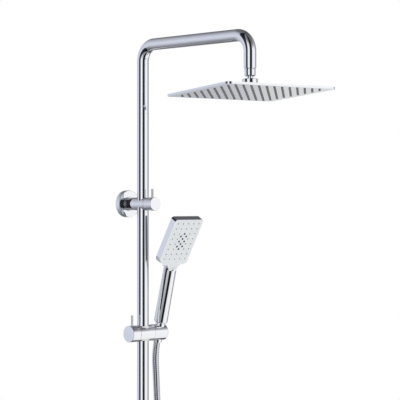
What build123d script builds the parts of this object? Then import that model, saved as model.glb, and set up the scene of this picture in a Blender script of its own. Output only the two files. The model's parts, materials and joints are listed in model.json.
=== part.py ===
from build123d import *
from math import atan2, cos, radians, sin, sqrt, tan
import os

os.makedirs("parts", exist_ok=True)

# Frame: the wall is the plane y = 0, the room is towards -Y, +Z is up.
# The origin is the mouth of the wall inlet, on the axis of the upper bracket.

# Driving dimensions, millimetres and degrees
tube_r = 12.7
tube_wall = 1.5
rail_y = -57.0
rail_top = 193.85
rail_bottom = -930.0
arm_z = 341.0
arm_reach = 327.0
arm_bend = 36.0
pipe_end = 272.6

ball_z = 241.5
ball_r = 10.5
head_side = 250.0
head_corner = 11.0
head_under = -18.8
head_top = -14.3
head_yaw = -13.85
head_tilt = (-2.35, 1.19)
rain_pitch = 17.45
rain_row = 13.3
rain_rows = 17
rain_nub_r = 2.6

flange_r = 29.3
flange_depth = 13.0
bracket_r = 14.25
body_front = -72.8
knob_front = -97.8
lever_y = -88.0
lower_z = -900.0

slider_z = -278.0
slider_r = 17.75
knob_x = (-40.4, -19.4)
body_x = (-19.1, 21.2)
holder_x = (21.5, 59.0)
holder_pin_x = -30.5

hand_x = 45.5
hand_tilt = 14.8
handle_low = 23.3
handle_top = 140.0
neck_low = 142.0
handle_r = (15.0, 14.25)
face_lean = 15.85
face_half = 40.5
face_row8 = (8.26, 167.25)
face_top = 262.0
face_flat = 8.6
head_deep = 15.0
col_pitch = 14.8
row_pitch = 12.66

hose_r = 7.0
hose_bore = 4.5
outlet_z = -985.0

inner_r = tube_r - tube_wall
fit = 0.05
seam = 0.3

pieces = {}


def cyl(r, low, high, at=(0, 0)):
    """Upright cylinder between two heights."""
    return Pos(at[0], at[1], (low + high) / 2) * Cylinder(r, high - low)


def cyl_y(r, y0, y1, x=0.0, z=0.0):
    """Cylinder along Y between two depths."""
    return Pos(x, (y0 + y1) / 2, z) * Rot(90, 0, 0) * Cylinder(r, abs(y1 - y0))


def cyl_x(r, x0, x1, y=0.0, z=0.0):
    """Cylinder along X between two offsets."""
    return Pos((x0 + x1) / 2, y, z) * Rot(0, 90, 0) * Cylinder(r, abs(x1 - x0))


def turned(points):
    """Solid of revolution about Z from (radius, height) points."""
    outline = make_face(Polyline(*[(r, 0, h) for r, h in points], close=True))
    return revolve(outline, Axis.Z)


def ring(tube, radius, at):
    """O-ring about Z."""
    return Pos(*at) * Torus(radius, tube)


# Gooseneck, riser and their joint

def gooseneck():
    end_y = rail_y - arm_reach
    route = FilletPolyline(
        (0, rail_y, rail_top + seam),
        (0, rail_y, arm_z),
        (0, end_y, arm_z),
        (0, end_y, pipe_end),
        radius=arm_bend,
    )
    start = Plane((0, rail_y, rail_top + seam), z_dir=(0, 0, 1))
    outer = sweep(start * Circle(tube_r), path=route)
    inner = sweep(start * Circle(inner_r), path=route)
    screw = Pos(0, rail_y, 206) * Rot(0, 0, -28) * cyl_y(3.0, -14, 0)
    return outer - inner - screw


def riser_spigot():
    body = cyl(inner_r - fit, rail_top - 30, rail_top + 30, (0, rail_y))
    body += cyl(tube_r - 0.25, rail_top, rail_top + seam, (0, rail_y))
    body -= cyl(8.4, rail_top - 31, rail_top + 31, (0, rail_y))
    for z in (rail_top - 20, rail_top + 22):
        groove = cyl(inner_r + 1, z - 1.1, z + 1.1, (0, rail_y))
        body -= groove - cyl(9.5, z - 2, z + 2, (0, rail_y))
    dimple = Pos(0, rail_y, 206) * Rot(0, 0, -28) * cyl_y(3.0, -14, -9.6)
    return body - dimple


def spigot_oring(z):
    return ring(0.8, 10.32, (0, rail_y, z))


def arm_set_screw():
    screw = cyl_y(2.9, -12.55, -9.7)
    screw -= Pos(0, -12.0, 0) * Rot(90, 0, 0) * extrude(RegularPolygon(1.4, 6), 1.6, both=True)
    return Pos(0, rail_y, 206) * Rot(0, 0, -28) * screw


def rail_tube():
    tube = cyl(tube_r, rail_bottom, rail_top, (0, rail_y))
    tube -= cyl(inner_r, rail_bottom - 1, rail_top + 1, (0, rail_y))
    tube -= cyl_y(5.5, rail_y + 8, rail_y + 14)
    tube -= cyl_y(9.0, rail_y - 14, rail_y - 6)
    return tube


# Ball joint and rain head

def end_y():
    return rail_y - arm_reach


def arm_nipple():
    y = end_y()
    body = cyl(inner_r - fit, pipe_end, pipe_end + 18, (0, y))
    body += cyl(11.0, 271.0, pipe_end, (0, y))
    body += cyl(9.0, 261.0, 271.0, (0, y))
    return body - cyl(5.5, 260, pipe_end + 19, (0, y))


def nipple_washer():
    return cyl(8.6, 259.5, 261.0, (0, end_y())) - cyl(5.6, 259, 262, (0, end_y()))


def swivel_nut():
    y = end_y()
    low = 255.6 - ball_z
    high = 271.0 - ball_z - 0.1
    body = turned([
        (0, low - 6),
        (6.0, low - 6),
        (6.0, low),
        (9.0, low),
        (11.35, low + 2.6),
        (11.35, high - 0.8),
        (10.6, high),
        (0, high),
    ])
    body += Sphere(ball_r)
    body -= cyl(9.0 + fit, 18.0, high + 1)
    body -= cyl(3.8, -12, 19)
    return Pos(0, y, ball_z) * body


def head_place():
    tip, roll = head_tilt
    return Pos(0, end_y(), ball_z) * Rot(tip, 0, 0) * Rot(0, roll, 0) * Rot(0, 0, head_yaw)


def ball_ring():
    body = turned([(0, -9.4), (16, -9.4), (16, 8.5), (15.2, 9.3), (0, 9.3)])
    body -= cyl(13.55, -10, 3.2)
    body -= Sphere(ball_r + 0.1)
    body -= cyl(9.4, 0, 10)
    return body


def ball_seat():
    body = cyl(10.75, -9.8, -3.2) - Sphere(ball_r + 0.08)
    return body - cyl(5.0, -12, 0)


def square(side, corner):
    return RectangleRounded(side, side, corner)


def rain_points():
    """Nozzle centres in staggered rows of twelve and thirteen."""
    spots = []
    for row in range(rain_rows):
        count = 12 + row % 2
        y = (row - (rain_rows - 1) / 2) * rain_row
        for i in range(count):
            spots.append(((i - (count - 1) / 2) * rain_pitch, y))
    return spots


def head_shell():
    body = Pos(0, 0, head_under) * extrude(square(head_side, head_corner), head_top - head_under)
    body -= Pos(0, 0, head_under - 1) * extrude(square(head_side - 3, head_corner - 1.5), 4.3)
    body += cyl(13.5, head_top, 3.0)
    body += turned([(0, head_top), (30, head_top), (16.4, -9.4), (0, -9.4)])
    body -= cyl(10.8, -9.8, 4)
    return body - cyl(4.8, -20, 0)


def head_plate():
    plate = Pos(0, 0, head_under) * extrude(square(head_side - 3.2, head_corner - 1.6), 1.2)
    holes = [Pos(x, y, head_under) * Cylinder(rain_nub_r + 0.15, 6) for x, y in rain_points()]
    return plate - holes


def rain_mat():
    mat = Pos(0, 0, head_under + 1.2) * extrude(square(236, 8), 0.9)
    nubs = []
    for x, y in rain_points():
        nubs.append(Pos(x, y, head_under - 0.1) * Cone(2.1, rain_nub_r, 2.6))
    mat += nubs
    return mat


# Wall brackets

def flange(z):
    body = turned([
        (0, 0),
        (flange_r, 0),
        (flange_r, flange_depth - 1.0),
        (flange_r - 1.0, flange_depth),
        (0, flange_depth),
    ])
    body -= cyl(flange_r - 2.5, -1, flange_depth - 2.5)
    body -= cyl(13.4, -1, flange_depth + 1)
    return Pos(0, 0, z) * Rot(90, 0, 0) * body


def base_ring(z):
    body = turned([(0, 13), (15.6, 13), (15.6, 15.2), (15.0, 16), (0, 16)])
    body -= cyl(bracket_r + 0.02, 12, 17)
    return Pos(0, 0, z) * Rot(90, 0, 0) * body


def inlet_union():
    body = cyl_y(13.2, 0, -13) + cyl_y(10.9, -13, -24)
    body -= cyl_y(9.3, 1, -12)
    body -= cyl_y(6.0, 0, -25)
    groove = cyl_y(12, -18.2, -20.4) - cyl_y(9.3, -18, -21)
    return body - groove


def inlet_oring():
    return Pos(0, -19.3, 0) * Rot(90, 0, 0) * Torus(10.12, 0.8)


def diverter_body():
    body = cyl_y(bracket_r, -13, body_front)
    body -= cyl_y(10.95, -12, -24.1)
    body -= cyl_y(6.0, -20, rail_y)
    body -= cyl(tube_r + fit, -20, 20, (0, rail_y))
    body -= cyl_y(9.0, rail_y, body_front - 1)
    return body


def diverter_cartridge():
    body = cyl_y(8.95, rail_y + 6, body_front - 0.2)
    body += cyl_y(4.0, body_front, -90)
    body -= cyl_y(5.0, rail_y + 7, rail_y - 6)
    return body - cyl(3.6, -12, 0, (0, rail_y - 1))


def diverter_knob():
    front = -knob_front
    back = -body_front + seam
    body = turned([
        (0, back),
        (bracket_r, back),
        (bracket_r, front - 0.6),
        (bracket_r - 0.6, front),
        (0, front),
    ])
    body = Rot(90, 0, 0) * body
    body -= cyl_y(4.0, body_front, -90)
    body -= cyl(3.0, 8, 20, (0, lever_y))
    return body - cyl(2.0, -20, -3.6, (0, -80))


def diverter_lever():
    return chamfer(cyl(3.0, 8.0, 32.0, (0, lever_y)).edges().group_by(Axis.Z)[-1], 0.4)


def knob_screw():
    screw = cyl(1.95, -12.5, -4.05, (0, -80))
    return screw - Pos(0, -80, -12.5) * extrude(RegularPolygon(1.0, 6), 1.5, both=True)


def lower_plate():
    body = cyl_y(23, 0, -4) + cyl_y(13.2, -4, -12.9)
    body -= cyl_y(4.0, 1, -14)
    for x in (-18, 18):
        body -= cyl_y(2.3, 1, -5, x)
    return Pos(0, 0, lower_z) * body


def lower_stud():
    return Pos(0, 0, lower_z) * cyl_y(3.95, -1, -30)


def lower_body():
    body = cyl_y(bracket_r, -13, body_front)
    body -= cyl_y(4.0, -12, -32)
    body -= cyl(tube_r + fit, -20, 20, (0, rail_y))
    body -= cyl(2.5, -20, 0, (0, -36))
    return Pos(0, 0, lower_z) * body


def lower_screw():
    screw = cyl(2.45, -12.8, -8.8, (0, -36))
    return Pos(0, 0, lower_z) * screw


def lower_cap():
    front = -body_front + 5.0
    body = turned([
        (0, -body_front),
        (bracket_r, -body_front),
        (bracket_r, front - 0.6),
        (bracket_r - 0.6, front),
        (0, front),
    ])
    return Pos(0, 0, lower_z) * Rot(90, 0, 0) * body


# Slider, made about its own axis, then moved to the riser

def on_slider(shape):
    return Pos(0, rail_y, slider_z) * shape


def rail_liner():
    body = cyl(14.2, -15.5, 15.5) - cyl(tube_r + fit, -16, 16)
    return body - Pos(0, 14, 0) * Box(2.0, 6, 40)


def slider_body():
    body = cyl_x(slider_r, *body_x)
    body += cyl_x(8.6, body_x[1], 32.5)
    body -= cyl(14.2 + fit, -15.6, 15.6)
    body -= cyl(tube_r + seam, -20, 20)
    body -= cyl_x(4.0, body_x[0] - 1, -13)
    groove = cyl_x(9.6, 26.0, 28.2) - cyl_x(7.1, 25, 29)
    return body - groove


def clamp_pad():
    return cyl_x(3.95, -15.8, -14.22) - cyl(14.2 + fit, -20, 20)


def clamp_screw():
    return cyl_x(3.95, -32.0, -16.1)


def slider_knob():
    x0, x1 = knob_x
    body = turned([
        (0, x0),
        (slider_r - 0.8, x0),
        (slider_r, x0 + 0.8),
        (slider_r, x1),
        (0, x1),
    ])
    body = Rot(0, 90, 0) * body
    body -= cyl_x(3.95, -32.0, x1 + 1)
    return body - cyl(2.7, 10, 20, (holder_pin_x, 0))


def slider_lever():
    return chamfer(cyl(2.7, 10.0, 39.4, (holder_pin_x, 0)).edges().group_by(Axis.Z)[-1], 0.4)


def tilt_ring():
    return Pos(27.1, 0, 0) * Rot(0, 90, 0) * Torus(7.85, 0.75)


def cone_holder():
    x0, x1 = holder_x
    body = fillet(cyl_x(slider_r, x0, x1).edges().group_by(Axis.X)[-1], 2.6)
    body -= cyl_x(8.6 + fit, x0 - 1, 32.7)
    taper = turned([(0, -24), (9.75, -24), (11.25, 24), (0, 24)])
    return body - Pos(hand_x, 0, 0) * Rot(hand_tilt, 0, 0) * taper


# Hand shower, made with its handle upright, then tilted into the holder

def on_hand(shape):
    return Pos(hand_x, rail_y, slider_z) * Rot(hand_tilt, 0, 0) * shape


lean = radians(face_lean)
face_top_u = face_row8[0] + tan(lean) * (face_top - face_row8[1])
bend_h = face_row8[1] + (face_flat - face_row8[0]) / tan(lean)


def side_slab(front_in, back_in, top_in, half):
    """Slab between the front and back lines, moved in by the given amounts."""
    nu = cos(lean)
    nh = -sin(lean)
    top_u = face_top_u - front_in * nu - top_in * sin(lean)
    top_h = face_top - front_in * nh - top_in * cos(lean)
    deep = head_deep - front_in - back_in
    back_u = top_u - deep * nu
    back_h = top_h - deep * nh
    flat = face_flat - front_in
    bend = top_h - (top_u - flat) / tan(lean)
    limit = -handle_r[1] + back_in
    foot = back_h - (back_u - limit) / tan(lean)
    points = [
        (flat, neck_low),
        (flat, bend),
        (top_u, top_h),
        (back_u, back_h),
        (limit, foot),
        (limit, neck_low),
    ]
    outline = make_face(Polyline(*[(0, -u, h) for u, h in points], close=True))
    return extrude(outline, half, both=True, dir=(1, 0, 0))


def outline_prism(inset):
    """Front outline of the head, carried back at the slope of its underside."""
    side = face_half - inset
    neck = 11.6 - inset * 0.5
    points = [
        (neck, neck_low + 0.5 + inset),
        (neck + 1.0, 146.5 + inset),
        (17.0, 153.6 + inset),
        (side, 157.0 + inset),
        (side, 290.0),
    ]
    right = Polyline(*points)
    left = Polyline(*[(-x, h) for x, h in points])
    joins = [Line(points[0], (-neck, neck_low + 0.5 + inset)), Line(points[-1], (-side, 290.0))]
    area = make_face(Curve() + [right, left] + joins)
    corners = [v for v in area.vertices() if abs(abs(v.X) - side) < 0.01 and v.Y < 200]
    area = fillet(corners, 13.0 - inset)
    bends = [v for v in area.vertices() if abs(abs(v.X) - 17.0) < 0.01]
    area = fillet(bends, 7.0)
    plane = Plane((0, -face_flat, 0), x_dir=(1, 0, 0), z_dir=(0, -1, 0))
    slope = radians(12.0)
    way = (0, -cos(slope), -sin(slope))
    return extrude(plane * area, 70.0, both=True, dir=way)


def handle():
    low_r, top_r = handle_r
    return turned([
        (0, handle_low),
        (low_r - 1.6, handle_low),
        (low_r, handle_low + 1.8),
        (top_r, handle_top),
        (top_r, 176.0),
        (0, 176.0),
    ])


def head_block():
    """Outer form of the head and handle in one."""
    block = side_slab(0, 0, 0, face_half) & outline_prism(0.0)
    tops = block.edges().filter_by(lambda e: e.length > 10 and e.center().Z > 255)
    tops = [e for e in tops if abs(abs(e.center().X) - face_half) < 0.1]
    block = fillet(tops, 6.5)
    grip = handle()
    upper = grip & Pos(0, 0, neck_low + 60) * Box(60, 60, 120)
    lower = grip - Pos(0, 0, neck_low + 60) * Box(60, 60, 120)
    return block + (upper & side_slab(0, 0, 0, 30)) + lower


def panel_form():
    inset = 1.0
    layer = side_slab(0, 0, 0.9, face_half) - side_slab(2.2, -6, -3, face_half + 1)
    layer = layer & outline_prism(inset)
    tops = layer.edges().filter_by(lambda e: e.center().Z > 250)
    tops = [e for e in tops if abs(abs(e.center().X) - face_half + inset) < 0.1 and e.length < 3]
    return fillet(tops, 5.6)


def face_plane():
    u, h = face_row8
    return Plane((0, -u, h), x_dir=(1, 0, 0), z_dir=(0, -cos(lean), -sin(lean)))


def jet_points():
    """Ten centre jets: one and two in turn, half a row apart."""
    spots = []
    for step in range(7):
        y = (2 + step * 0.5) * row_pitch
        if step % 2:
            spots += [(-col_pitch / 2, y), (col_pitch / 2, y)]
        else:
            spots.append((0, y))
    return spots


def tan_points():
    """Five columns of eight rows, less the middle of the four jet rows."""
    spots = []
    for row in range(8):
        for col in range(-2, 3):
            if col == 0 and 2 <= row <= 5:
                continue
            spots.append((col * col_pitch, row * row_pitch))
    return spots


def nubs(spots, r, low, high):
    plane = face_plane()
    return [plane * Pos(x, y, (low + high) / 2) * Cylinder(r, high - low) for x, y in spots]


def cavity():
    hollow = side_slab(2.2, 2.6, 3.0, face_half - 3.0) & outline_prism(4.5)
    hollow += cyl(9.0, 20, 160) & side_slab(2.2, 2.6, 3.0, 20)
    return hollow + cyl(9.0, 20, neck_low + 1)


def mat_form():
    sheet = side_slab(2.2, 2.6, 3.6, face_half - 4.0) - side_slab(3.2, -6, -3, face_half)
    sheet = sheet & outline_prism(5.2)
    return sheet & Pos(0, 0, 220) * Box(100, 100, 116)


def hand_inlet():
    body = cyl(8.95, 24.5, 42.0) + cyl(9.0, 10.0, 24.5)
    return body - cyl(6.2, 5, 45)


def hand_washer():
    return cyl(8.8, 8.4, 10.0) - cyl(6.0, 8, 11)


def cone_nut():
    body = turned([(0, -22.0), (9.4, -22.0), (9.8, -21.0), (10.95, 21.8), (10.5, 22.6), (0, 22.6)])
    body -= cyl(9.0 + fit, 8.4, 24)
    return body - cyl(hose_bore, -24, 10)


# Hose and outlet

def hand_point(h):
    """Point on the handle axis, in the part's frame."""
    a = radians(hand_tilt)
    return (hand_x, rail_y - h * sin(a), slider_z + h * cos(a))


hose_start = hand_point(-22.0)
hose_end = (0.0, rail_y, outlet_z)
hose_route = [
    hose_start,
    hand_point(-48.5),
    (49.0, -44.6, -378.0),
    (55.0, -43.5, -478.0),
    (71.5, -45.5, -650.0),
    (92.0, -50.0, -852.0),
    (107.0, -57.0, -1042.0),
    (101.0, -63.0, -1196.0),
    (80.0, -65.5, -1284.0),
    (2.0, -67.0, -1329.0),
    (-78.0, -65.0, -1287.0),
    (-88.0, -62.0, -1194.0),
    (-44.0, -58.0, -1100.0),
    (0.0, rail_y, -1047.0),
    hose_end,
]


def unit(a, b):
    d = [q - p for p, q in zip(a, b)]
    n = sqrt(sum(v * v for v in d))
    return [v / n for v in d], n


def hose_radii():
    """Arc radius at each inner point: 0.45 of the shorter run."""
    radii = []
    for a, b, c in zip(hose_route, hose_route[1:], hose_route[2:]):
        d1, n1 = unit(a, b)
        d2, n2 = unit(b, c)
        dot = max(-1.0, min(1.0, sum(p * q for p, q in zip(d1, d2))))
        half = atan2(sqrt(1 - dot * dot), dot) / 2
        radii.append(0.45 * min(n1, n2) / tan(half))
    return radii


def hose():
    radii = hose_radii()
    path = FilletPolyline(*hose_route, radius=radii)
    along, _ = unit(hose_route[0], hose_route[1])
    start = Plane(hose_route[0], z_dir=tuple(along))
    tube = sweep(start * Circle(hose_r), path=path)
    bore = sweep(start * Circle(hose_bore), path=path)
    print("hose arc radii", [round(r, 1) for r in radii])
    print("hose runs", [round(unit(a, b)[1], 1) for a, b in zip(hose_route, hose_route[1:])])
    print("hose length", round(path.length, 1))
    section = 3.14159265 * hose_r ** 2
    print("hose volume ratio", round(tube.volume / (section * path.length), 4))
    return tube - bore


def hose_nut():
    body = turned([
        (0, outlet_z),
        (8.6, outlet_z),
        (11.6, outlet_z + 6),
        (11.6, outlet_z + 24),
        (11.0, outlet_z + 24.8),
        (0, outlet_z + 24.8),
    ])
    body -= cyl(9.3, outlet_z + 9.0, outlet_z + 26)
    body -= cyl(hose_bore, outlet_z - 1, outlet_z + 10)
    return Pos(0, rail_y, 0) * body


def hose_washer():
    bore = cyl(5, outlet_z, outlet_z + 12, (0, rail_y))
    return cyl(9.0, outlet_z + 9, outlet_z + 10.6, (0, rail_y)) - bore


def outlet_nipple():
    low = outlet_z + 10.6
    nut_top = outlet_z + 25.0
    body = cyl(9.25, low, nut_top, (0, rail_y))
    body += turned([
        (0, nut_top),
        (10.4, nut_top),
        (tube_r, nut_top + 4),
        (tube_r, rail_bottom - 0.6),
        (tube_r - 0.6, rail_bottom),
        (0, rail_bottom),
    ]).moved(Location((0, rail_y, 0)))
    body += cyl(inner_r - fit, rail_bottom, rail_bottom + 18, (0, rail_y))
    body -= cyl(6.0, low - 1, rail_bottom + 2, (0, rail_y))
    return body - cyl(8.0, rail_bottom, rail_bottom + 19, (0, rail_y))


def check_valve():
    return cyl(7.95, rail_bottom, rail_bottom + 12, (0, rail_y)) - cyl(4, -950, -900, (0, rail_y))


pieces["gooseneck_arm"] = gooseneck()
pieces["riser_spigot"] = riser_spigot()
pieces["spigot_oring_lower"] = spigot_oring(rail_top - 20)
pieces["spigot_oring_upper"] = spigot_oring(rail_top + 22)
pieces["arm_set_screw"] = arm_set_screw()
pieces["rail_tube"] = rail_tube()
pieces["arm_nipple"] = arm_nipple()
pieces["nipple_washer"] = nipple_washer()
pieces["swivel_nut"] = swivel_nut()

for name, make in (
    ("ball_ring", ball_ring),
    ("ball_seat", ball_seat),
    ("head_shell", head_shell),
    ("head_plate", head_plate),
    ("rain_nozzle_mat", rain_mat),
):
    pieces[name] = head_place() * make()

pieces["upper_flange"] = flange(0)
pieces["upper_base_ring"] = base_ring(0)
pieces["inlet_union"] = inlet_union()
pieces["inlet_oring"] = inlet_oring()
pieces["diverter_body"] = diverter_body()
pieces["diverter_cartridge"] = diverter_cartridge()
pieces["diverter_knob"] = diverter_knob()
pieces["diverter_lever"] = diverter_lever()
pieces["diverter_screw"] = knob_screw()

for name, make in (
    ("rail_liner", rail_liner),
    ("slider_body", slider_body),
    ("clamp_pad", clamp_pad),
    ("clamp_screw", clamp_screw),
    ("slider_knob", slider_knob),
    ("slider_lever", slider_lever),
    ("tilt_ring", tilt_ring),
    ("cone_holder", cone_holder),
):
    pieces[name] = on_slider(make())

panel = panel_form()
tan_nubs = nubs(tan_points(), 1.25, -3.0, 0.8)
jet_nubs = nubs(jet_points(), 2.1, -4.4, 0.6)
panel_holes = nubs(tan_points(), 1.35, -4.0, 2.0) + nubs(jet_points(), 2.2, -4.0, 2.0)
sheet_holes = nubs(jet_points(), 2.2, -5.0, 2.0)
backing = face_plane() * Pos(0, 3.5 * row_pitch, -4.1) * extrude(RectangleRounded(24, 50, 4), 0.8)

pieces["handset_shell"] = on_hand(head_block() - panel - cavity())
pieces["handset_face"] = on_hand(panel - panel_holes)
pieces["handset_nozzle_mat"] = on_hand(mat_form() - sheet_holes + tan_nubs)
pieces["handset_jets"] = on_hand(backing + jet_nubs)
pieces["handset_inlet"] = on_hand(hand_inlet())
pieces["handset_washer"] = on_hand(hand_washer())
pieces["cone_nut"] = on_hand(cone_nut())

pieces["hose"] = hose()
pieces["hose_nut"] = hose_nut()
pieces["hose_washer"] = hose_washer()
pieces["outlet_nipple"] = outlet_nipple()
pieces["check_valve"] = check_valve()

pieces["lower_plate"] = lower_plate()
pieces["lower_stud"] = lower_stud()
pieces["lower_flange"] = flange(lower_z)
pieces["lower_base_ring"] = base_ring(lower_z)
pieces["lower_body"] = lower_body()
pieces["lower_screw"] = lower_screw()
pieces["lower_cap"] = lower_cap()

for name, shape in pieces.items():
    solids = shape.solids()
    solid = solids[0] if len(solids) == 1 else Compound(solids)
    solid.label = name
    box = solid.bounding_box()
    low = [round(v, 1) for v in box.min]
    high = [round(v, 1) for v in box.max]
    print(f"{name:20s} solids {len(solids)} volume {solid.volume / 1000:8.2f} cm3 {low} {high}")
    export_step(solid, f"parts/{name}.step")
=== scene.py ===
import json
import math

import bmesh
import bpy
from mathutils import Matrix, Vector


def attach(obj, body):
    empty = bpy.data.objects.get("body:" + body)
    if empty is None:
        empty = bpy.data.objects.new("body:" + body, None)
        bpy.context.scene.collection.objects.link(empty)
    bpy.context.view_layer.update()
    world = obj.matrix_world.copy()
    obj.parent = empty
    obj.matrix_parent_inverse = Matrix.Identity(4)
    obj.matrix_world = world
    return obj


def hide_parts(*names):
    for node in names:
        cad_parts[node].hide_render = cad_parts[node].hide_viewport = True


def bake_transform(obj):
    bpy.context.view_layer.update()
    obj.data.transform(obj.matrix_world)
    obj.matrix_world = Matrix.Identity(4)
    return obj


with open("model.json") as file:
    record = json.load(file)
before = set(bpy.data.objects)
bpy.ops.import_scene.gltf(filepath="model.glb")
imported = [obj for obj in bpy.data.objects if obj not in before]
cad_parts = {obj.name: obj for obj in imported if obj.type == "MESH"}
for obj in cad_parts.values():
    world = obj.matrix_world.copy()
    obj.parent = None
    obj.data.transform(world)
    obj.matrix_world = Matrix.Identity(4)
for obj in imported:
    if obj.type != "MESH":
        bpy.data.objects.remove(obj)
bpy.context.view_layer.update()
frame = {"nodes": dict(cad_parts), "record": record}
print("frame loaded", len(frame["nodes"]), "nodes")


# sockets with arithmetic

class Sock:
    def __init__(self, tree, socket):
        self.tree = tree
        self.socket = socket

    def node(self, kind, settings=None, sockets=None, out=0):
        return addNode(self.tree, kind, settings, sockets, out)

    def other(self, index):
        # another output of the same node
        return Sock(self.tree, self.socket.node.outputs[index])

    def calc(self, operation, *values):
        return self.node("ShaderNodeMath", {"operation": operation}, dict(enumerate(values)))

    def __add__(self, other):
        return self.calc("ADD", self, other)

    def __radd__(self, other):
        return self.calc("ADD", other, self)

    def __sub__(self, other):
        return self.calc("SUBTRACT", self, other)

    def __rsub__(self, other):
        return self.calc("SUBTRACT", other, self)

    def __mul__(self, other):
        return self.calc("MULTIPLY", self, other)

    def __rmul__(self, other):
        return self.calc("MULTIPLY", other, self)

    def __truediv__(self, other):
        return self.calc("DIVIDE", self, other)

    def __rtruediv__(self, other):
        return self.calc("DIVIDE", other, self)

    def smooth(self, low, high, start=0.0, end=1.0):
        return self.node(
            "ShaderNodeMapRange",
            {"interpolation_type": "SMOOTHSTEP"},
            {0: self, 1: low, 2: high, 3: start, 4: end},
        )

    def ramp(self, stops):
        return self.node("ShaderNodeValToRGB", {"stops": stops}, {0: self})

    def mix(self, first, second):
        return self.node(
            "ShaderNodeMix", {"data_type": "RGBA"}, {0: self, 6: first, 7: second}, out=2
        )


def addNode(tree, kind, settings=None, sockets=None, out=0):
    made = tree.nodes.new(kind)
    for name, value in (settings or {}).items():
        if name == "stops":
            setStops(made.color_ramp, value)
        else:
            setattr(made, name, value)
    for key, value in (sockets or {}).items():
        if isinstance(value, Sock):
            tree.links.new(value.socket, made.inputs[key])
        else:
            made.inputs[key].default_value = value
    return Sock(tree, made.outputs[out] if made.outputs else None)


def setStops(ramp, stops):
    while len(ramp.elements) < len(stops):
        ramp.elements.new(0.5)
    for element, (place, colour) in zip(ramp.elements, stops):
        element.position = place
        element.color = (*colour, 1.0)


def linear(level):
    # light for an sRGB level of 0 to 255
    c = level / 255.0
    return c / 12.92 if c <= 0.04045 else ((c + 0.055) / 1.055) ** 2.4


def tint(rgb):
    return tuple(linear(v) for v in rgb)


# studio: what the polished metal mirrors, by direction in the room

studio = {
    "toward": (-0.682, -0.731),   # level direction that the angles start from
    "gain": 1.08,
    "around": [                   # degrees counterclockwise from above, then sRGB
        (-180, (178, 181, 187)),
        (-172, (172, 175, 181)),
        (-150, (196, 199, 210)),
        (-84, (208, 212, 225)),
        (-80, (52, 55, 64)),
        (-46, (48, 50, 58)),
        (-43, (236, 238, 245)),
        (-8, (240, 242, 246)),
        (-5, (40, 41, 48)),
        (34, (46, 47, 55)),
        (40, (232, 233, 236)),
        (60, (242, 243, 245)),
        (180, (244, 245, 247)),
    ],
    "shade": (166, 169, 178),     # behind, on the right
    "gap": (212, 213, 215),       # straight behind
    "right": [                    # height above the level, degrees, then share
        (-60, 0.5),
        (-49, 0.95),
        (14, 1.0),
        (22, 0.75),
        (29, 0.45),
        (36, 0.29),
        (44, 0.17),
        (90, 0.15),
    ],
    "front": [
        (-90, 0.25),
        (-38, 0.3),
        (-21, 0.6),
        (-8, 0.95),
        (0, 1.0),
        (25, 0.9),
        (45, 0.25),
        (90, 0.2),
    ],
    "back": [
        (-90, 0.2),
        (-50, 0.25),
        (-41, 0.38),
        (-32, 0.58),
        (-20, 0.84),
        (-8, 0.96),
        (4, 1.0),
        (20, 0.88),
        (30, 0.78),
        (38, 0.66),
        (44, 0.44),
        (52, 0.25),
        (90, 0.2),
    ],
    "far": [
        (-90, 0.2),
        (-46, 0.26),
        (-36, 0.28),
        (-22, 0.5),
        (-11, 1.0),
        (6, 1.0),
        (16, 0.7),
        (36, 0.28),
        (48, 0.24),
        (90, 0.2),
    ],
    # angles in degrees between which one part of the room passes into the next
    "farEdge": (132.0, 162.0),    # to either side
    "shadeEdge": (-3.0, 5.0),     # counted from the end of the right wall
    "gapEdge": (166.0, 176.5),
    "seam": (175.5, 180.0),
    "rightEdge": (30.0, 38.0),
    "frontEdge": (-70.0, -55.0),
    # the right wall ends further round the lower it is: heights, then angles
    "wallEnd": (-10.0, -34.0, 96.0, 136.0),
}


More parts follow.
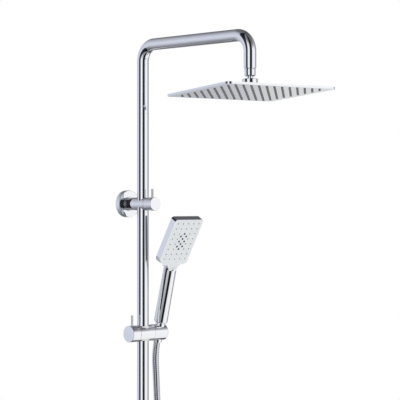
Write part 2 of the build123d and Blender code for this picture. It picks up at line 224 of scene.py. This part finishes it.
def makeWorld():
    world = bpy.data.worlds.new("studio")
    bpy.context.scene.world = world
    world.use_nodes = True
    world.cycles.sampling_method = "NONE"  # the plain white needs no aimed light
    tree = world.node_tree
    tree.nodes.clear()
    coord = addNode(tree, "ShaderNodeTexCoord")
    parts = addNode(tree, "ShaderNodeSeparateXYZ", None, {0: coord})
    x, y, z = parts, parts.other(1), parts.other(2)
    tx, ty = studio["toward"]
    ahead = x * tx + y * ty
    across = x * -ty + y * tx
    angle = ahead.calc("ARCTAN2", across, ahead) * (180.0 / math.pi)
    around = ((angle + 180.0) / 360.0).ramp([((a + 180) / 360, tint(c)) for a, c in studio["around"]])
    level = z.calc("ARCSINE", z) * (180.0 / math.pi)
    height = (level + 90.0) / 180.0
    right, front, back, far = [
        height.ramp([((h + 90) / 180, (share, share, share)) for h, share in studio[side]])
        for side in ("right", "front", "back", "far")
    ]
    back = angle.calc("ABSOLUTE", angle).smooth(*studio["farEdge"]).mix(back, far)
    behind = (angle - level.smooth(*studio["wallEnd"])).smooth(*studio["shadeEdge"])
    gap = angle.smooth(*studio["gapEdge"]).mix((*tint(studio["shade"]), 1), (*tint(studio["gap"]), 1))
    gap = angle.smooth(*studio["seam"]).mix(gap, (*tint(studio["around"][0][1]), 1))
    around = behind.mix(around, gap)
    fade = angle.smooth(*studio["frontEdge"]).mix(back, front)
    fade = (angle.smooth(*studio["rightEdge"]) * (1.0 - behind)).mix(fade, right)
    fade = behind.mix(fade, back)
    shade = around.node(
        "ShaderNodeMix", {"data_type": "RGBA", "blend_type": "MULTIPLY"},
        {0: 1.0, 6: around, 7: fade}, out=2,
    )
    glow = addNode(tree, "ShaderNodeBackground", None, {0: shade, 1: studio["gain"]})
    plain = addNode(tree, "ShaderNodeBackground", None, {0: (1, 1, 1, 1), 1: 1.0})
    rays = addNode(tree, "ShaderNodeLightPath")  # straight views and soft light see plain white
    direct = rays.calc("MAXIMUM", rays, rays.other(2))
    both = addNode(tree, "ShaderNodeMixShader", None, {0: direct, 1: glow, 2: plain})
    addNode(tree, "ShaderNodeOutputWorld", None, {0: both})
    print("studio made")


makeWorld()

scene = bpy.context.scene
scene.view_settings.view_transform = "Standard"
scene.view_settings.look = "None"

camSettings = {
    "place": (-2.2585, -2.6590, 0.0084),
    "turn": -43.0,
    "lens": 144.0,
    "sensor": 36.0,
    "near": 0.05,
    "far": 60.0,
}
camData = bpy.data.cameras.new("camera")
camData.sensor_width = camSettings["sensor"]
camData.lens = camSettings["lens"]
camData.clip_start = camSettings["near"]
camData.clip_end = camSettings["far"]
camera = bpy.data.objects.new("camera", camData)
camera.location = camSettings["place"]
camera.rotation_euler = (math.radians(90), 0, math.radians(camSettings["turn"]))
scene.collection.objects.link(camera)
scene.camera = camera


# grain: slight change of tone and polish over every surface

grainSettings = {
    "scale": 60.0,
    "detail": 3.0,
    "rough": 0.55,
    "tone": (0.3, 0.7),   # noise levels between which the tone changes
    "polish": 0.4,        # share of the roughness that changes
}


def makeMaterial(name, colour, metal=0.0, rough=0.3, grain=0.0, coat=0.0):
    v = grainSettings
    made = bpy.data.materials.new(name)
    made.use_nodes = True
    tree = made.node_tree
    tree.nodes.clear()
    coord = addNode(tree, "ShaderNodeTexCoord", out=3)
    noise = addNode(
        tree, "ShaderNodeTexNoise", None,
        {"Vector": coord, "Scale": v["scale"], "Detail": v["detail"], "Roughness": v["rough"]},
    )
    darker = tuple(c * (1.0 - grain) for c in colour)
    tone = noise.smooth(*v["tone"]).mix((*darker, 1), (*colour, 1))
    polish = (noise - 0.5) * (rough * v["polish"]) + rough
    shader = addNode(
        tree, "ShaderNodeBsdfPrincipled", None,
        {"Base Color": tone, "Roughness": polish, "Metallic": metal, "Coat Weight": coat},
    )
    addNode(tree, "ShaderNodeOutputMaterial", None, {0: shader})
    return made


looks = {
    "polished_chrome": dict(colour=(0.93, 0.935, 0.95), metal=1.0, rough=0.03, grain=0.01),
    "polished_steel": dict(colour=(0.93, 0.935, 0.95), metal=1.0, rough=0.05, grain=0.01),
    "satin_steel": dict(colour=(0.80, 0.81, 0.83), metal=1.0, rough=0.25, grain=0.05),
    "brass": dict(colour=(0.80, 0.62, 0.30), metal=1.0, rough=0.25, grain=0.08),
    "plated_plastic": dict(colour=(0.93, 0.935, 0.95), metal=1.0, rough=0.035, grain=0.01),
    "face_plastic": dict(colour=(0.83, 0.865, 0.895), rough=0.22, grain=0.01, coat=0.2),
    "grey_silicone": dict(colour=(0.25, 0.24, 0.23), rough=0.5, grain=0.1),
    "tan_silicone": dict(colour=(0.52, 0.42, 0.27), rough=0.5, grain=0.1),
    "navy_silicone": dict(colour=(0.05, 0.045, 0.11), rough=0.4, grain=0.1),
    "seal_rubber": dict(colour=(0.02, 0.02, 0.02), rough=0.6, grain=0.1),
    "white_plastic": dict(colour=(0.8, 0.8, 0.78), rough=0.4, grain=0.02),
    "hose_metal": dict(colour=(0.86, 0.87, 0.89), metal=1.0, rough=0.08, grain=0.04),
}
materials = {name: makeMaterial(name, **values) for name, values in looks.items()}

slots = {entry["node"]: entry["material_slot"] for entry in frame["record"]["subparts"]}
for name, node in frame["nodes"].items():
    node.data.materials.clear()
    node.data.materials.append(materials[slots[name]])
groups = frame["record"]["behaviour"]["bodies"]
bodies = {node: body for body, names in groups.items() for node in names}
print("materials set")


# floor under everything

floorSettings = {
    "place": (0, -0.3, -1.52),
    "radius": 4.0,
    "sides": 96,
    "colour": (0.80, 0.80, 0.80),
    "rough": 0.7,
    "grain": 0.02,
}
bpy.ops.mesh.primitive_circle_add(
    vertices=floorSettings["sides"], radius=floorSettings["radius"], fill_type="NGON",
    location=floorSettings["place"],
)
floor = bpy.context.object
floor.name = "floor"
floor.visible_glossy = False
floor.data.materials.append(makeMaterial(
    "floor_paint", floorSettings["colour"], rough=floorSettings["rough"], grain=floorSettings["grain"],
))
print("floor made")


# turned and bent metal pieces, drawn finer than the solids

turnSettings = {
    "sides": 160,
    "thinSides": 64,      # for the pin levers
    "bendSteps": 32,
    "cornerSteps": 4,
    "cornerShare": 0.49,  # most of a side that a softened corner may take
    "straight": 170.0,    # degrees above which a corner is left as it is
    "crisp": 28.0,        # sharpest angle in degrees that still shades smoothly
}


def spokes(side, up, sides):
    # directions of one ring's points, seen from its centre
    angles = [2 * math.pi * k / sides for k in range(sides)]
    return [side * math.cos(a) + up * math.sin(a) for a in angles]


def ringFaces(rings, sides):
    # four-sided faces between each ring of points and the next
    faces = []
    for i in range(rings - 1):
        for k in range(sides):
            a = i * sides + k
            b = i * sides + (k + 1) % sides
            faces.append((a, b, b + sides, a + sides))
    return faces


def addMesh(name, verts, rings, sides, material, crisp=None):
    mesh = bpy.data.meshes.new(name)
    mesh.from_pydata(verts, [], ringFaces(rings, sides))
    mesh.validate()
    mesh.shade_smooth()
    if crisp:
        mesh.set_sharp_from_angle(angle=math.radians(crisp))
    mesh.materials.append(materials[material])
    thing = bpy.data.objects.new(name, mesh)
    scene.collection.objects.link(thing)
    return thing


def standIn(thing, nodes, body):
    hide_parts(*nodes)
    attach(thing, body)


def turn(name, profile, start, axis, body, node, material="polished_chrome", sides=None):
    # profile: radius and distance along the axis, millimetres
    sides = sides or turnSettings["sides"]
    axis = Vector(axis).normalized()
    side = axis.orthogonal().normalized()
    around = spokes(side, axis.cross(side), sides)
    start = Vector(start) / 1000
    verts = [start + axis * (t / 1000) + spoke * (r / 1000) for r, t in profile for spoke in around]
    thing = addMesh(name, verts, len(profile), sides, material, turnSettings["crisp"])
    standIn(thing, [node], body)


def rounded(points, radius):
    # the same profile with its corners softened
    steps, share = turnSettings["cornerSteps"], turnSettings["cornerShare"]
    made = [points[0]]
    for a, b, c in zip(points, points[1:], points[2:]):
        a, b, c = Vector(a), Vector(b), Vector(c)
        back, ahead = a - b, c - b
        angle = back.angle(ahead)
        if angle > math.radians(turnSettings["straight"]):
            made.append(tuple(b))
            continue
        reach = min(radius / math.tan(angle / 2), back.length * share, ahead.length * share)
        p, q = b + back.normalized() * reach, b + ahead.normalized() * reach
        for i in range(steps + 1):
            t = i / steps
            made.append(tuple(p * (1 - t) ** 2 + b * (2 * t * (1 - t)) + q * t ** 2))
    made.append(points[-1])
    return made


softSettings = {"merge": 1e-6}  # metres, points nearer than this become one


def soften(node, angle, cut=None):
    # the same surface, shaded smoothly over its small facets, and only the part above a cut
    source = frame["nodes"][node]
    mesh = source.data.copy()
    work = bmesh.new()
    work.from_mesh(mesh)
    bmesh.ops.transform(work, matrix=source.matrix_world, verts=work.verts)
    bmesh.ops.remove_doubles(work, verts=work.verts, dist=softSettings["merge"])
    bmesh.ops.dissolve_degenerate(work, edges=work.edges, dist=softSettings["merge"])
    if cut:
        place, up = cut
        everything = work.verts[:] + work.edges[:] + work.faces[:]
        bmesh.ops.bisect_plane(
            work, geom=everything, plane_co=place, plane_no=up, clear_inner=True
        )
    work.to_mesh(mesh)
    work.free()
    mesh.shade_smooth()
    mesh.set_sharp_from_angle(angle=math.radians(angle))
    thing = bpy.data.objects.new(node + "_soft", mesh)
    scene.collection.objects.link(thing)
    normals = thing.modifiers.new("normals", "WEIGHTED_NORMAL")
    normals.keep_sharp = True
    standIn(thing, [node], bodies[node])


# rail and gooseneck, millimetres

railSettings = {
    "radius": 12.7,
    "inside": 11.2,
    "depth": -57.0,       # rail's distance out from the wall
    "foot": -930.0,
    "length": 1123.85,
    "chamfer": 0.2,
    "armFoot": 194.1,     # where the gooseneck stands on the rail
    "arm": 341.0,         # height of the level arm
    "reach": 327.0,
    "armEnd": 272.6,
    "bend": 36.0,
}


def bentTube(name, corners, bend, radius, inside, material, body, node):
    # tube through corner points with round bends, open ends turned in to the bore
    steps = turnSettings["bendSteps"]
    path = []
    for i, place in enumerate(corners):
        here = Vector(place)
        if i in (0, len(corners) - 1):
            path.append(here)
            continue
        back = (Vector(corners[i - 1]) - here).normalized()
        ahead = (Vector(corners[i + 1]) - here).normalized()
        for k in range(steps + 1):
            a = math.radians(90) * k / steps
            path.append(here + back * (bend * (1 - math.sin(a))) + ahead * (bend * (1 - math.cos(a))))
    last = len(path) - 1
    rings = [(0, inside)] + [(i, radius) for i in range(len(path))] + [(last, inside)]
    side = Vector((1, 0, 0))
    verts = []
    for i, r in rings:
        ahead = (path[min(i + 1, last)] - path[max(i - 1, 0)]).normalized()
        around = spokes(side, ahead.cross(side), turnSettings["sides"])
        verts += [(path[i] + spoke * r) / 1000 for spoke in around]
    thing = addMesh(name, verts, len(rings), turnSettings["sides"], material, turnSettings["crisp"])
    standIn(thing, [node], body)


def makeRail():
    v = railSettings
    y, out = v["depth"], v["depth"] - v["reach"]
    bentTube(
        "gooseneck", [(0, y, v["armFoot"]), (0, y, v["arm"]), (0, out, v["arm"]), (0, out, v["armEnd"])],
        v["bend"], v["radius"], v["inside"], "polished_chrome", "column", "gooseneck_arm",
    )
    radius, edge, length = v["radius"], v["chamfer"], v["length"]
    profile = [
        (v["inside"], 0), (radius - edge, 0), (radius, edge),
        (radius, length - edge), (radius - edge, length), (v["inside"], length),
    ]
    turn("rail", profile, (0, y, v["foot"]), (0, 0, 1), "column", "rail_tube")
    print("rail made")


# wall brackets: each outline is radius and distance out from the wall, millimetres

bracketSettings = {
    "heights": {"upper": 0, "lower": -900},
    "flange": {"outline": [(26.8, 0), (29.3, 0), (29.3, 13), (13.5, 13)], "corner": 1.2},
    "ring": {"outline": [(14.3, 13), (15.6, 13), (15.6, 16), (14.27, 16)], "corner": 0.4},
    "stem": {"outline": [(0, 13), (14.25, 13), (14.25, 72.75), (9.5, 72.75)], "corner": 0.15},
    "cap": {"outline": [(5, 72.85), (14.25, 72.85), (14.25, 77.8), (0, 77.8)], "corner": 0.5},
    "knob": {"outline": [(4.1, 73.1), (14.25, 73.1), (14.25, 97.8), (0, 97.8)], "corner": 0.45},
    "lever": {"outline": [(0, 9), (3.0, 9), (3.0, 32), (0, 32)], "corner": 0.4},
    "leverDepth": -88,
}


def softened(piece):
    return rounded(piece["outline"], piece["corner"])


def makeBrackets():
    v = bracketSettings
    out = (0, -1, 0)
    for name, z in v["heights"].items():
        turn(name + "_wall_flange", softened(v["flange"]), (0, 0, z), out, "column", name + "_flange")
        turn(name + "_ring", softened(v["ring"]), (0, 0, z), out, "column", name + "_base_ring")
    upper = (0, 0, v["heights"]["upper"])
    lower = (0, 0, v["heights"]["lower"])
    turn("diverter_stem", softened(v["stem"]), upper, out, "column", "diverter_body")
    turn("lower_stem", softened(v["stem"]), lower, out, "column", "lower_body")
    turn("lower_end", softened(v["cap"]), lower, out, "column", "lower_cap")
    turn("diverter_handle", softened(v["knob"]), upper, out, "diverter", "diverter_knob")
    turn("diverter_pin", softened(v["lever"]), (0, v["leverDepth"], 0), (0, 0, 1),
         "diverter", "diverter_lever", sides=turnSettings["thinSides"])
    print("brackets made")


# slider: outlines along the clamp's axis, from the rail's centre, millimetres

sliderSettings = {
    "height": -278,
    "barrel": {"outline": [(9, -19.15), (17.75, -19.15), (17.75, 21.25), (9.2, 21.25)], "corner": 0.15},
    "knob": {"outline": [(0, -40.4), (17.75, -40.4), (17.75, -19.4), (9, -19.4)], "corner": 0.6},
    "lever": {"outline": [(0, 12), (2.7, 12), (2.7, 39.4), (0, 39.4)], "corner": 0.4},
    "leverAcross": -30.5,
}


def makeSlider():
    v = sliderSettings
    depth = railSettings["depth"]
    base = (0, depth, v["height"])
    turn("slider_barrel", softened(v["barrel"]), base, (1, 0, 0), "carriage", "slider_body")
    turn("slider_handle", softened(v["knob"]), base, (1, 0, 0), "clamp_knob", "slider_knob")
    turn("slider_pin", softened(v["lever"]), (v["leverAcross"], depth, v["height"]), (0, 0, 1),
         "clamp_knob", "slider_lever", sides=turnSettings["thinSides"])
    print("slider made")


# end of the arm: outlines are radius and height, millimetres

armEndSettings = {
    "collar": {
        "outline": [(5.6, 261), (9, 261), (9, 271), (11, 271), (11, 272.5), (5.6, 272.5)],
        "corner": 0.2,
    },
    "nut": {
        "outline": [(6.0, 250.4), (6.0, 255.6), (9.0, 255.6), (11.35, 258.2), (11.35, 270.1),
                    (10.6, 270.9), (9.2, 270.9)],
        "corner": 0.3,
    },
    "ballRadius": 10.5,
    "ballHeight": 241.5,
    "ballFoot": 235.3,    # height of the middle of the flat under the ball
    "ballFirst": -84.0,   # degrees, where the ball's arc starts
    "ballStep": 12.4,
    "ballSteps": 11,
}


def makeArmEnd():
    v = armEndSettings
    place = (0, railSettings["depth"] - railSettings["reach"], 0)
    turn("arm_collar", softened(v["collar"]), place, (0, 0, 1), "column", "arm_nipple")
    outline = [(0, v["ballFoot"])]
    for k in range(1, v["ballSteps"] + 1):
        a = math.radians(v["ballFirst"] + k * v["ballStep"])
        outline.append((v["ballRadius"] * math.cos(a), v["ballHeight"] + v["ballRadius"] * math.sin(a)))
    outline += v["nut"]["outline"]
    turn("swivel", rounded(outline, v["nut"]["corner"]), place, (0, 0, 1), "head_swivel", "swivel_nut")
    print("arm end made")


# handle of the hand shower, turned, with the rest of the shell softened above it

gripSettings = {
    "across": 45.5,       # from the rail to the handle's axis, millimetres
    "tilt": 14.8,         # degrees that the handle leans out from the wall
    "outline": [          # radius and distance up the handle, millimetres
        (9.0, 25.8), (9.0, 23.3), (13.2, 23.3), (13.6, 23.45),
        (14.85, 24.85), (15.0, 25.3), (14.257, 139.0),
    ],
}


def makeGrip():
    v = gripSettings
    tilt = math.radians(v["tilt"])
    axis = Vector((0, -math.sin(tilt), math.cos(tilt)))
    base = Vector((v["across"], railSettings["depth"], sliderSettings["height"]))
    turn("handset_grip", v["outline"], base, axis, "hand_shower", "handset_shell",
         material="plated_plastic")
    print("grip made")
    top = v["outline"][-1][1]
    return (base + axis * top) / 1000, axis


makeRail()
makeBrackets()
makeSlider()
makeArmEnd()
gripEnd = makeGrip()

softNodes = {  # angle in degrees below which neighbouring facets shade as one
    "head_shell": 25.0, "head_plate": 25.0, "rain_nozzle_mat": 35.0, "ball_ring": 25.0,
    "handset_shell": 25.0, "handset_face": 25.0, "cone_nut": 30.0, "cone_holder": 25.0,
    "handset_nozzle_mat": 35.0, "handset_jets": 35.0, "arm_set_screw": 30.0,
}
for node, angle in softNodes.items():
    soften(node, angle, gripEnd if node == "handset_shell" else None)
print("softened", len(softNodes))


# hose: one soft tube, cut where it passes from one moving part to the next, metres

hoseSettings = {
    "radius": 0.0068,
    "diameter": 0.014,    # of the whole hose, as the solid has it
    "ridge": 0.0016,
    "pitch": 0.0046,
    "crest": 3.0,         # higher makes the ridges broader on top
    "middle": 0.55,       # level in a ridge that lies on the radius
    "sides": 28,
    "ringStep": 0.00045,
    "order": 3,           # bends stay tangent to the route's straight lines
    "curveSteps": 64,
    "pathStep": 6,        # rings from one path point to the next
    "blendInset": 2,      # rings left out of each blend at both ends
    "stretches": [        # share of the length where each one ends, and the bodies it joins
        ("hose_at_handset", 0.060, "hand_shower", "holder"),
        ("hose_at_holder", 0.120, "holder", "carriage"),
        ("hose_at_carriage", 0.180, "carriage", "liner"),
        ("hose_long_leg", 0.69, "liner", "column"),
        ("hose_loop", 1.0, "column", None),
    ],
}
hosePoints = [  # from the hand shower down, round the loop and up to the outlet
    (0.0455, -0.05138, -0.29927),
    (0.0455, -0.04461, -0.32489),
    (0.0490, -0.0446, -0.378),
    (0.0550, -0.0435, -0.478),
    (0.0715, -0.0455, -0.650),
    (0.0920, -0.0500, -0.852),
    (0.1070, -0.0570, -1.042),
    (0.1010, -0.0630, -1.196),
    (0.0800, -0.0655, -1.284),
    (0.0020, -0.0670, -1.329),
    (-0.0780, -0.0650, -1.287),
    (-0.0880, -0.0620, -1.194),
    (-0.0440, -0.0580, -1.100),
    (0.0, -0.0570, -1.047),
    (0.0, -0.0570, -0.985),
]


def hoseLine():
    data = bpy.data.curves.new("hoseRoute", "CURVE")
    data.dimensions = "3D"
    spline = data.splines.new("NURBS")
    spline.points.add(len(hosePoints) - 1)
    for point, place in zip(spline.points, hosePoints):
        point.co = (*place, 1.0)
    spline.order_u = hoseSettings["order"]
    spline.use_endpoint_u = True
    spline.resolution_u = hoseSettings["curveSteps"]
    thing = bpy.data.objects.new("hoseRoute", data)
    mesh = bpy.data.meshes.new_from_object(thing)
    line = [v.co.copy() for v in mesh.vertices]
    bpy.data.objects.remove(thing)
    return line


def evenLine(line, step):
    # the same line with equal steps between its points
    lengths = [0.0]
    for a, b in zip(line, line[1:]):
        lengths.append(lengths[-1] + (b - a).length)
    total = lengths[-1]
    count = int(total / step)
    spots = []
    index = 0
    for i in range(count + 1):
        at = total * i / count
        while index < len(line) - 2 and lengths[index + 1] < at:
            index += 1
        span = lengths[index + 1] - lengths[index]
        spots.append(line[index].lerp(line[index + 1], (at - lengths[index]) / span))
    return spots, total


def ridgeRadius(step):
    # radius of the spiral at a ring and at a share of the way around it
    v = hoseSettings

    def radiusAt(ring, share):
        phase = (ring * step / v["pitch"] + share) % 1.0
        rise = 1.0 - abs(2.0 * phase - 1.0) ** v["crest"]
        return v["radius"] + v["ridge"] * (rise - v["middle"])

    return radiusAt


def spiralTube(name, line, start, radiusAt):
    sides = hoseSettings["sides"]
    side = Vector((1, 0, 0))
    verts = []
    for i, place in enumerate(line):
        ahead = (line[min(i + 1, len(line) - 1)] - line[max(i - 1, 0)]).normalized()
        side = (side - ahead * side.dot(ahead)).normalized()
        for k, spoke in enumerate(spokes(side, ahead.cross(side), sides)):
            verts.append(place + spoke * radiusAt(start + i, k / sides))
    return addMesh(name, verts, len(line), sides, "hose_metal")


def makeHose():
    v = hoseSettings
    line, total = evenLine(hoseLine(), v["ringStep"])
    step = total / (len(line) - 1)
    print("hose length", round(total, 4))
    radiusAt = ridgeRadius(step)
    begin = 0
    for name, share, first, second in v["stretches"]:
        end = round(share * (len(line) - 1))
        stretch = line[begin:end + 1]
        thing = spiralTube(name, stretch, begin, radiusAt)
        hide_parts("hose")
        if second:
            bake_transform(thing)
        else:
            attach(thing, first)
        (end - begin) * step
        stretch[::v["pathStep"]] + [stretch[-1]]
        begin = end
    print("hose made")


makeHose()
